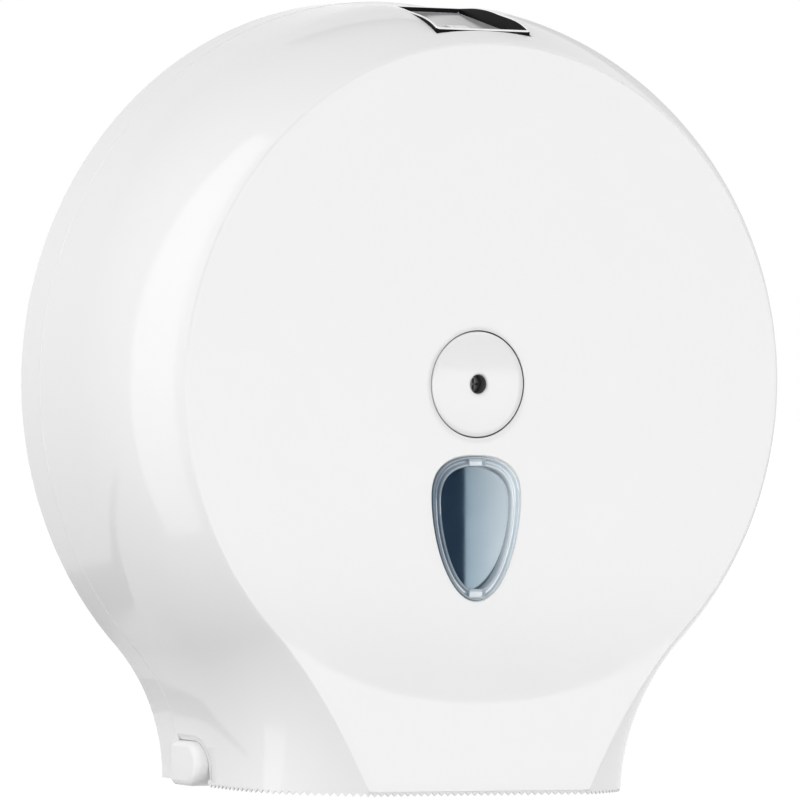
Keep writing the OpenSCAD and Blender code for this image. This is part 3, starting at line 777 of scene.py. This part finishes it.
def make_materials():
    """Every finish: darker and lighter colour, range of roughness, fineness and depth of the grain."""
    steel = {"Metallic": 1.0}
    return {
        "shell": surface("white_moulding", (0.80, 0.80, 0.802), (0.815, 0.815, 0.815), (0.06, 0.09),
                         grain=420, bump=0.06, IOR=1.5),
        "inner": surface("inner_moulding", (0.60, 0.61, 0.62), (0.64, 0.64, 0.65), (0.34, 0.46),
                         grain=900, bump=0.25),
        # painted shade for the gap round the cap and the well of its screw
        "gap": surface("gap_shade", (0.10, 0.10, 0.10), (0.14, 0.14, 0.14), (0.5, 0.7),
                       grain=900, bump=0.1),
        "lever": surface("lever_moulding", (0.78, 0.78, 0.78), (0.82, 0.82, 0.82), (0.2, 0.3),
                         grain=700, bump=0.15),
        "steel": surface("zinc_steel", (0.46, 0.47, 0.48), (0.60, 0.61, 0.62), (0.22, 0.4),
                         grain=1500, bump=0.3, stretch=(1, 6, 1), **steel),
        "spring": surface("spring_wire", (0.30, 0.30, 0.31), (0.42, 0.42, 0.43), (0.25, 0.42),
                          grain=2500, bump=0.2, **steel),
        "chrome": surface("chrome_plating", (0.86, 0.87, 0.88), (0.92, 0.92, 0.93), (0.03, 0.07),
                          grain=260, bump=0.04, **steel),
        # painted shade and dark reflection: the tray walls are near black and reflect almost nothing
        "tray_wall": surface("plating_in_shade", (0.004, 0.004, 0.004), (0.008, 0.008, 0.009), (0.2, 0.3),
                             grain=260, bump=0.04, Specular_IOR_Level=0.05),
        # painted half shade: the tray floor is plain grey in place of plating
        "tray_floor": surface("plating_half_shade", (0.34, 0.34, 0.35), (0.50, 0.50, 0.51), (0.10, 0.18),
                              grain=260, bump=0.04, patch=60.0),
        "shoe": surface("brake_rubber", (0.035, 0.036, 0.038), (0.06, 0.06, 0.062), (0.5, 0.7),
                        grain=1200, bump=0.5),
        "border": surface("clear_border", (0.80, 0.84, 0.88), (1.0, 1.0, 1.0), (0.03, 0.07),
                          grain=500, bump=0.1, patch=90.0, IOR=2.1, Transmission_Weight=0.15),
        "pane": surface("tinted_hollow", (0.016, 0.038, 0.068), (0.024, 0.050, 0.088), (0.11, 0.15),
                        grain=300, bump=0.05, IOR=2.7, Transmission_Weight=0.15),
        "dark_steel": surface("dark_screw", (0.05, 0.05, 0.05), (0.10, 0.10, 0.10), (0.25, 0.4),
                              grain=1500, bump=0.3, **steel),
    }


def shade_across(mat, socket, left, right, x0, x1):
    """Colour that runs across the window from left at x0 to right at x1; it paints the window's reflection,
    lighter to the right.
    """
    tree = mat.node_tree
    coord = tree.nodes.new("ShaderNodeTexCoord")
    axes = tree.nodes.new("ShaderNodeSeparateXYZ")
    spread = tree.nodes.new("ShaderNodeMapRange")
    spread.inputs["From Min"].default_value = x0 * MM
    spread.inputs["From Max"].default_value = x1 * MM
    mix = tree.nodes.new("ShaderNodeMix")
    mix.data_type = "RGBA"
    mix.inputs[6].default_value = (*left, 1)
    mix.inputs[7].default_value = (*right, 1)
    tree.links.new(coord.outputs["Object"], axes.inputs[0])
    tree.links.new(axes.outputs["X"], spread.inputs["Value"])
    tree.links.new(spread.outputs["Result"], mix.inputs[0])
    target = tree.nodes["Principled BSDF"].inputs[socket]
    result = mix.outputs[2]
    if target.is_linked:
        grain = tree.nodes.new("ShaderNodeMix")
        grain.data_type = "RGBA"
        grain.blend_type = "MULTIPLY"
        grain.inputs[0].default_value = 1.0
        tree.links.new(result, grain.inputs[6])
        tree.links.new(target.links[0].from_socket, grain.inputs[7])
        result = grain.outputs[2]
    tree.links.new(result, target)


# Finishes of the solids that show as they are
NODE_LOOKS = {
    "inner": ("spindle", "core_sleeve", "spindle_cap", "cap_retainer", "lock_body", "latch_keeper"),
    "dark_steel": ("cap_screw",),
    "steel": ("spindle_screws", "spindle_cap_screw", "lock_screws", "lever_pin", "keeper_screws",
              "hinge_pin_left", "hinge_pin_right"),
    "lever": ("release_lever",),
    "shoe": ("brake_shoe",),
}


def paint(ob, mat):
    """Gives a piece one finish."""
    ob.data.materials.clear()
    ob.data.materials.append(mat)


def paint_nodes(looks):
    for look, names in NODE_LOOKS.items():
        for name in names:
            for slot in nodes[name].material_slots:
                slot.material = looks[look]


# Studio: white surroundings, soft lamps, pale floor
def shows_in(tree):
    """One for camera, glossy and transmission rays, zero for the rest."""
    path = tree.nodes.new("ShaderNodeLightPath")
    total = path.outputs["Is Camera Ray"]
    for name in ("Is Glossy Ray", "Is Transmission Ray"):
        add = tree.nodes.new("ShaderNodeMath")
        add.operation = "MAXIMUM"
        tree.links.new(total, add.inputs[0])
        tree.links.new(path.outputs[name], add.inputs[1])
        total = add.outputs[0]
    return total


def make_world(zenith, horizon):
    """White to look at, and as a light brighter near the horizon than overhead."""
    world = bpy.data.worlds.new("studio")
    bpy.context.scene.world = world
    world.use_nodes = True
    tree = world.node_tree
    coord = tree.nodes.new("ShaderNodeTexCoord")
    axes = tree.nodes.new("ShaderNodeSeparateXYZ")
    fade = tree.nodes.new("ShaderNodeMapRange")
    fade.inputs["To Min"].default_value = horizon
    fade.inputs["To Max"].default_value = zenith
    spread = tree.nodes.new("ShaderNodeMapRange")
    spread.inputs["To Max"].default_value = 1.0
    tree.links.new(coord.outputs["Generated"], axes.inputs[0])
    tree.links.new(axes.outputs["Z"], fade.inputs["Value"])
    tree.links.new(fade.outputs["Result"], spread.inputs["To Min"])
    tree.links.new(shows_in(tree), spread.inputs["Value"])
    tree.links.new(spread.outputs["Result"], tree.nodes["Background"].inputs["Strength"])
    tree.nodes["Background"].inputs["Color"].default_value = (1, 1, 1, 1)


def plane(name, middle, across, up, width, height):
    """Rectangle in metres round a middle point."""
    across = Vector(across).normalized() * width / 2
    up = Vector(up).normalized() * height / 2
    mesh = bpy.data.meshes.new(name)
    middle = Vector(middle)
    mesh.from_pydata([middle - across - up, middle + across - up, middle + across + up, middle - across + up],
                     [], [(0, 1, 2, 3)])
    ob = bpy.data.objects.new(name, mesh)
    bpy.context.scene.collection.objects.link(ob)
    return ob


def make_floor(z):
    floor = plane("floor", (0, 0, z), (1, 0, 0), (0, 1, 0), 60, 60)
    mat = bpy.data.materials.new("pale_floor")
    mat.use_nodes = True
    tree = mat.node_tree
    shader = tree.nodes["Principled BSDF"]
    shader.inputs["Base Color"].default_value = (0.40, 0.40, 0.40, 1)
    shader.inputs["Roughness"].default_value = 0.9
    shader.inputs["Emission Color"].default_value = (1, 1, 1, 1)
    glow = tree.nodes.new("ShaderNodeMath")
    glow.operation = "MULTIPLY"
    glow.inputs[1].default_value = 0.72
    tree.links.new(shows_in(tree), glow.inputs[0])
    tree.links.new(glow.outputs[0], shader.inputs["Emission Strength"])
    paint(floor, mat)


def soft_lamp(name, place, size, power):
    """Area lamp aimed at the object, which doesn't show in reflections."""
    data = bpy.data.lights.new(name, "AREA")
    data.shape = "RECTANGLE"
    data.size = size[0]
    data.size_y = size[1]
    data.energy = power
    lamp = bpy.data.objects.new(name, data)
    bpy.context.scene.collection.objects.link(lamp)
    lamp.location = place
    lamp.rotation_euler = (Vector(place) - CAM_TARGET * MM).to_track_quat("Z", "Y").to_euler()
    lamp.visible_glossy = False


def card(name, start, end, z0, z1, strength):
    """Upright panel between two plan points, in metres, seen only in reflections."""
    start, end = Vector((*start, 0)), Vector((*end, 0))
    middle = (start + end) / 2 + Vector((0, 0, (z0 + z1) / 2))
    ob = plane(name, middle, end - start, (0, 0, 1), (end - start).length, z1 - z0)
    mat = bpy.data.materials.new(name)
    mat.use_nodes = True
    shader = mat.node_tree.nodes["Principled BSDF"]
    shader.inputs["Base Color"].default_value = (0, 0, 0, 1)
    shader.inputs["Specular IOR Level"].default_value = 0
    shader.inputs["Emission Color"].default_value = (1, 1, 1, 1)
    shader.inputs["Emission Strength"].default_value = strength
    paint(ob, mat)
    ob.visible_camera = False
    ob.visible_diffuse = False
    ob.visible_shadow = False
    ob.visible_transmission = False


def make_studio():
    """Places and sizes are in metres."""
    make_world(0.30, 1.2)
    make_floor(-0.6)
    soft_lamp("key", (-0.6, -2.8, 0.5), (1.8, 1.8), 23)
    soft_lamp("left_fill", (-2.6, -0.2, 0.5), (2.0, 2.0), 26)
    soft_lamp("right_fill", (2.6, -0.8, 0.6), (2.0, 2.0), 20)
    card("strip_left", (-0.75, -0.12), (-0.75, 0.17), -0.55, 1.39, 2.2)
    steps = (-0.58, 0.085, 0.1, 0.113, 0.124, 0.133, 0.32)
    for k, (z0, z1) in enumerate(zip(steps, steps[1:])):
        card("panel_front_%d" % k, (-1.3, -2.2), (1.99, -2.2), z0, z1, 3.4 - 0.4 * k)
    card("flag_floor", (-1.3, 0.9), (0.3, 0.9), -0.595, -0.52, 0.5)
    card("flag_right", (2.0, -2.2), (2.6, -0.5), -0.58, 1.2, 0.0)
    for k, (z0, z1) in enumerate(((2.3, 2.6), (2.6, 3.0), (3.0, 3.6))):
        card("flag_top_%d" % k, (0.4, 2.5), (2.0, 1.5), z0, z1, 0.6 + 0.15 * k)
    card("flag_low", (1.35, 1.95), (2.3, 1.0), -0.3, 1.0, 0.68)


make_camera()
looks = make_materials()
# painted reflection: the border's colour and the pane's reflection tint lighten from left to right
shade_across(looks["border"], "Base Color", (0.09, 0.155, 0.225), (0.82, 0.90, 0.94), -20, 19)
shade_across(looks["pane"], "Specular Tint", (0.40, 0.53, 0.61), (0.80, 0.90, 0.95), -3, 15.4)
shell_parts = [build_cover(), build_cover_lugs(), build_tear_edge(), build_front_cap()] + build_rear_plate()
for part in shell_parts:
    paint(part, looks["shell"])
shade_seat(shell_parts[0], looks["gap"])
shade_well(shell_parts[3], looks["gap"])
border, pane, tabs = build_window()
paint(border, looks["border"])
paint(pane, looks["pane"])
paint(tabs, looks["border"])
split_tray(build_tray(), looks["chrome"], looks["tray_wall"], looks["tray_floor"])
paint_nodes(looks)
brake_coil = build_coil("brake_coil", "brake_spring")
lever_coil = build_coil("lever_coil", "lever_spring")
for coil in (brake_coil, lever_coil):
    paint(coil, looks["spring"])
make_studio()
bpy.context.scene.view_settings.view_transform = "Standard"
